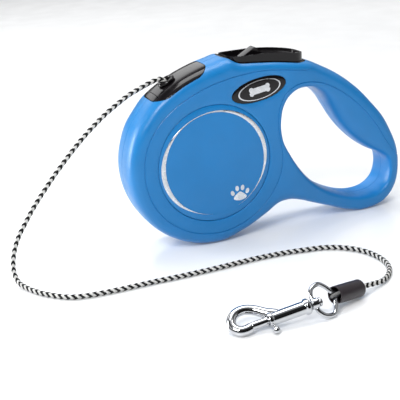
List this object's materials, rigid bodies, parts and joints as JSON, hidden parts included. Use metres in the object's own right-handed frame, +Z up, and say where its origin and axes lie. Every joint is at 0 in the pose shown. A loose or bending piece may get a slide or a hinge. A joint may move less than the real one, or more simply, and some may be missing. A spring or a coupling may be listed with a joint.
{
  "type": "retractable leash",
  "caption": "Retractable dog leash: clamshell housing with finger loop, sprung cord reel, thumb brake with lock, braided cord and swivel snap hook.",
  "frame": {"origin": "middle of the housing's length and thickness, on the surface that the leash stands on", "axes": "+X from the nose to the handle, -Y out of the left side, +Z up"},
  "size_m": [0.2044, 0.12, 0.0912],
  "materials": {
    "housing_blue": "satin moulded plastic with a fine grain",
    "cover_blue": "satin moulded plastic, a shade deeper than the housing",
    "gloss_black": "polished black plastic",
    "grey_plastic": "plain moulded plastic, inside the housing",
    "white_plastic": "slippery acetal, inside the housing",
    "steel": "plain turned steel",
    "spring_steel": "blued spring steel",
    "chrome": "polished chrome plate on a zinc casting",
    "braid": "black and white braided nylon cord",
    "sleeve_black": "soft black plastic sleeve with a satin skin"
  },
  "bodies": {
    "housing": {"left_shell": "housing_blue", "right_shell": "housing_blue", "left_disc_cover": "cover_blue", "right_disc_cover": "cover_blue", "left_badge": "gloss_black", "right_badge": "gloss_black", "housing_screw_1": "steel", "housing_screw_2": "steel", "housing_screw_3": "steel", "housing_screw_4": "steel", "housing_screw_5": "steel", "axle_pin": "steel", "spring_arbor": "steel", "power_spring": "spring_steel", "left_thrust_washer": "steel", "right_thrust_washer": "steel", "outlet_body": "gloss_black", "outlet_front_cap": "gloss_black", "outlet_eyelet": "gloss_black", "button_bezel": "gloss_black", "brake_return_spring": "spring_steel", "free_cord": "braid", "cord_sleeve": "sleeve_black", "cord_end_loop": "braid"},
    "reel": {"reel": "white_plastic", "spring_cover": "grey_plastic", "wound_cord": "braid"},
    "brake": {"brake_button": "gloss_black", "brake_carrier": "grey_plastic"},
    "lock": {"lock_slider": "gloss_black"},
    "ring": {"swivel_ring": "chrome"},
    "snap": {"swivel_rivet": "chrome", "snap_body": "chrome", "snap_spring": "spring_steel"},
    "bolt": {"snap_bolt": "chrome"}
  },
  "joints": [
    {"name": "reel_spin", "type": "hinge", "parent": "housing", "child": "reel", "pos_m": [-0.03127, 0, 0.041], "axis": [0, 1, 0], "continuous": true},
    {"name": "brake_press", "type": "slide", "parent": "housing", "child": "brake", "axis": [0, 0, -1], "range_m": [0, 0.0025], "stiffness_N_per_m": 1500, "springref_m": -0.001, "deforming": ["brake_return_spring"]},
    {"name": "lock_slide", "type": "slide", "parent": "brake", "child": "lock", "axis": [-1, 0, 0], "range_m": [0, 0.003]},
    {"name": "ring_swing", "type": "hinge", "parent": "housing", "child": "ring", "pos_m": [-0.01468, -0.09768, 0.0063], "axis": [-0.1791, 0.6733, 0.7174], "range_deg": [0, 20]},
    {"name": "snap_swivel", "type": "hinge", "parent": "ring", "child": "snap", "pos_m": [-0.02715, -0.101, 0.0063], "axis": [0.992, -0.0198, 0.1247], "continuous": true},
    {"name": "bolt_slide", "type": "slide", "parent": "snap", "child": "bolt", "axis": [0.992, -0.0198, 0.1247], "range_m": [0, 0.0045], "stiffness_N_per_m": 300, "springref_m": -0.001, "deforming": ["snap_spring"]}
  ]
}
